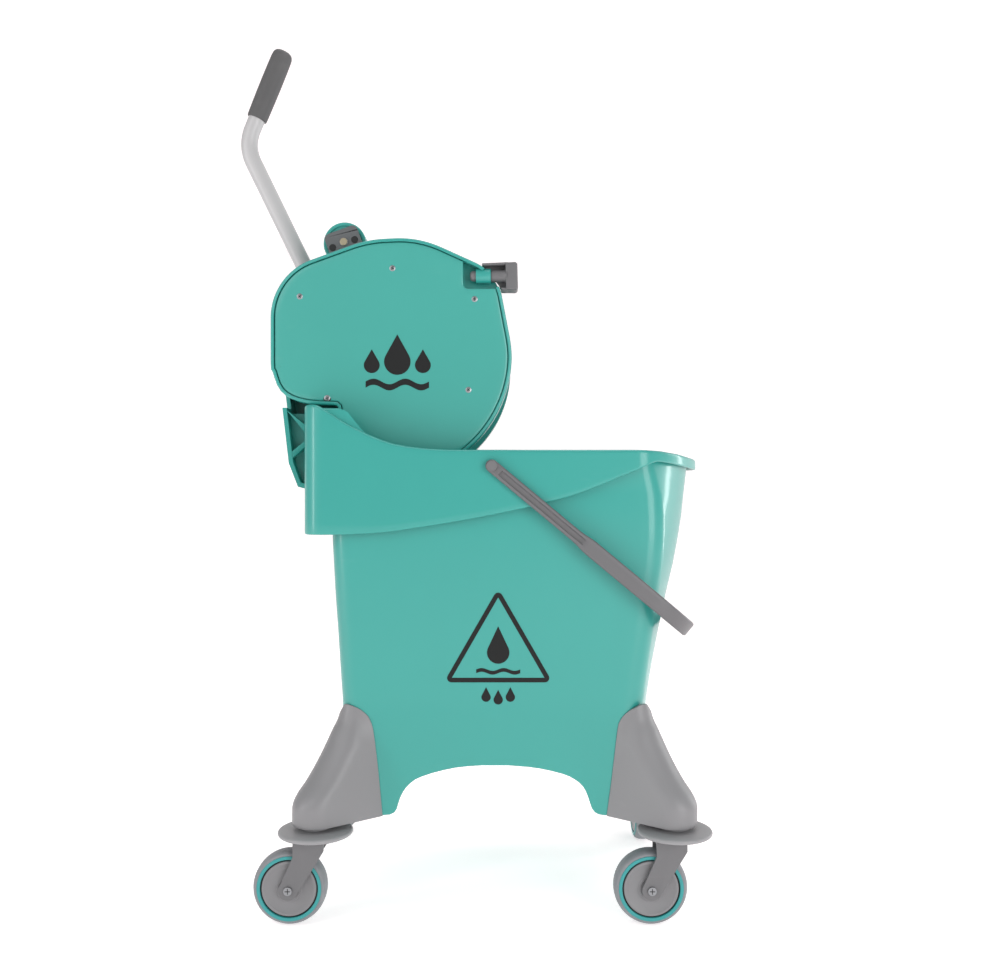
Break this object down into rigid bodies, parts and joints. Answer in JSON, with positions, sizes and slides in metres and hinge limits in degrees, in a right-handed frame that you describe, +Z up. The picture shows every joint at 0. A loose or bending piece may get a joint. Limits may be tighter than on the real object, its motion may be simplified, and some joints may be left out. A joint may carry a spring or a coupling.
{
  "type": "mop bucket with lever wringer",
  "caption": "Mop bucket on swivel casters with a bail handle and a lift-off wringer whose lever turns a geared press jaw between round casings.",
  "frame": {"origin": "on the floor, under the centre of the whole object's bounding box", "axes": "+X towards the pouring lip, +Y to the bucket's left, +Z up"},
  "size_m": [0.5568, 0.3812, 1.0124],
  "materials": {
    "teal": "satin moulded polypropylene",
    "teal_dark": "matt moulded plastic",
    "cover_grey": "satin grey moulded plastic",
    "fork_grey": "satin grey moulded nylon",
    "grip_grey": "soft matt grip",
    "tyre_grey": "non-marking grey rubber",
    "black": "black nylon",
    "steel": "zinc-plated steel",
    "painted_tube": "grey powder-coated steel tube"
  },
  "bodies": {
    "bucket": {"bucket": "teal", "leg_cover_rear_right": "cover_grey", "leg_cover_rear_left": "cover_grey", "leg_cover_front_right": "cover_grey", "leg_cover_front_left": "cover_grey", "bumper_rear_right": "cover_grey", "bumper_rear_left": "cover_grey", "bumper_front_right": "cover_grey", "bumper_front_left": "cover_grey", "caster_stems": "steel", "bail_pivots": "fork_grey"},
    "swivel_rear_right": {"fork_rear_right": "fork_grey", "axle_rear_right": "steel"},
    "wheel_rear_right": {"tyre_rear_right": "tyre_grey", "wheel_ring_rear_right": "teal", "hub_rear_right": "cover_grey"},
    "swivel_rear_left": {"fork_rear_left": "fork_grey", "axle_rear_left": "steel"},
    "wheel_rear_left": {"tyre_rear_left": "tyre_grey", "wheel_ring_rear_left": "teal", "hub_rear_left": "cover_grey"},
    "swivel_front_right": {"fork_front_right": "fork_grey", "axle_front_right": "steel"},
    "wheel_front_right": {"tyre_front_right": "tyre_grey", "wheel_ring_front_right": "teal", "hub_front_right": "cover_grey"},
    "swivel_front_left": {"fork_front_left": "fork_grey", "axle_front_left": "steel"},
    "wheel_front_left": {"tyre_front_left": "tyre_grey", "wheel_ring_front_left": "teal", "hub_front_left": "cover_grey"},
    "bail": {"bail_handle": "fork_grey"},
    "wringer": {"cheek_right": "teal", "cheek_left": "teal", "cover_right": "teal", "cover_left": "teal", "cover_screws": "steel", "hook_bracket": "teal_dark", "front_grille": "teal_dark", "tie_rods": "steel", "lever_bushes": "black", "jaw_bushes": "black", "roller_bracket_right": "fork_grey", "roller_bracket_left": "fork_grey", "bracket_plugs": "black", "bracket_screws": "steel", "roller_axle": "steel", "return_springs": "steel"},
    "roller": {"guide_roller": "teal"},
    "latch": {"latch_bar": "fork_grey"},
    "lever": {"lever_shaft": "steel", "pinions": "black", "lever_hub": "black", "hub_bolt": "steel", "lever_tube": "painted_tube", "lever_grip": "grip_grey"},
    "jaw": {"press_jaw": "teal_dark", "jaw_shaft": "steel", "sector_gears": "black"}
  },
  "joints": [
    {"name": "swivel_rear_right", "type": "hinge", "parent": "bucket", "child": "swivel_rear_right", "pos_m": [-0.1605, -0.15, 0.09], "axis": [0, 0, 1], "continuous": true},
    {"name": "spin_rear_right", "type": "hinge", "parent": "swivel_rear_right", "child": "wheel_rear_right", "pos_m": [-0.1875, -0.15, 0.04], "axis": [0, 1, 0], "continuous": true},
    {"name": "swivel_rear_left", "type": "hinge", "parent": "bucket", "child": "swivel_rear_left", "pos_m": [-0.1605, 0.15, 0.09], "axis": [0, 0, 1], "continuous": true},
    {"name": "spin_rear_left", "type": "hinge", "parent": "swivel_rear_left", "child": "wheel_rear_left", "pos_m": [-0.1875, 0.15, 0.04], "axis": [0, 1, 0], "continuous": true},
    {"name": "swivel_front_right", "type": "hinge", "parent": "bucket", "child": "swivel_front_right", "pos_m": [0.231, -0.15, 0.09], "axis": [0, 0, 1], "continuous": true},
    {"name": "spin_front_right", "type": "hinge", "parent": "swivel_front_right", "child": "wheel_front_right", "pos_m": [0.204, -0.15, 0.04], "axis": [0, 1, 0], "continuous": true},
    {"name": "swivel_front_left", "type": "hinge", "parent": "bucket", "child": "swivel_front_left", "pos_m": [0.231, 0.15, 0.09], "axis": [0, 0, 1], "continuous": true},
    {"name": "spin_front_left", "type": "hinge", "parent": "swivel_front_left", "child": "wheel_front_left", "pos_m": [0.231, 0.123, 0.04], "axis": [-1, 0, 0], "continuous": true},
    {"name": "bail_swing", "type": "hinge", "parent": "bucket", "child": "bail", "pos_m": [0.0316, 0, 0.497], "axis": [0, -1, 0], "range_deg": [0, 115]},
    {"name": "wringer_lift", "type": "slide", "parent": "bucket", "child": "wringer", "axis": [0, 0, 1], "range_m": [0, 0.11]},
    {"name": "lever_pull", "type": "hinge", "parent": "wringer", "child": "lever", "pos_m": [-0.15, 0, 0.641], "axis": [0, -1, 0], "range_deg": [0, 80], "stiffness_Nm_per_rad": 0.9, "springref_deg": -74.48},
    {"name": "jaw_press", "type": "hinge", "parent": "wringer", "child": "jaw", "pos_m": [-0.12, 0, 0.5756], "axis": [0, -1, 0], "range_deg": [-26.7, 0.1]},
    {"name": "roller_spin", "type": "hinge", "parent": "wringer", "child": "roller", "pos_m": [-0.1415, 0, 0.759], "axis": [0, 1, 0], "continuous": true},
    {"name": "latch_slide", "type": "slide", "parent": "wringer", "child": "latch", "axis": [1, 0, 0], "range_m": [0, 0.008]}
  ],
  "couplings": [
    {"joint": "jaw_press", "follows": "lever_pull", "ratio": -0.33333}
  ]
}
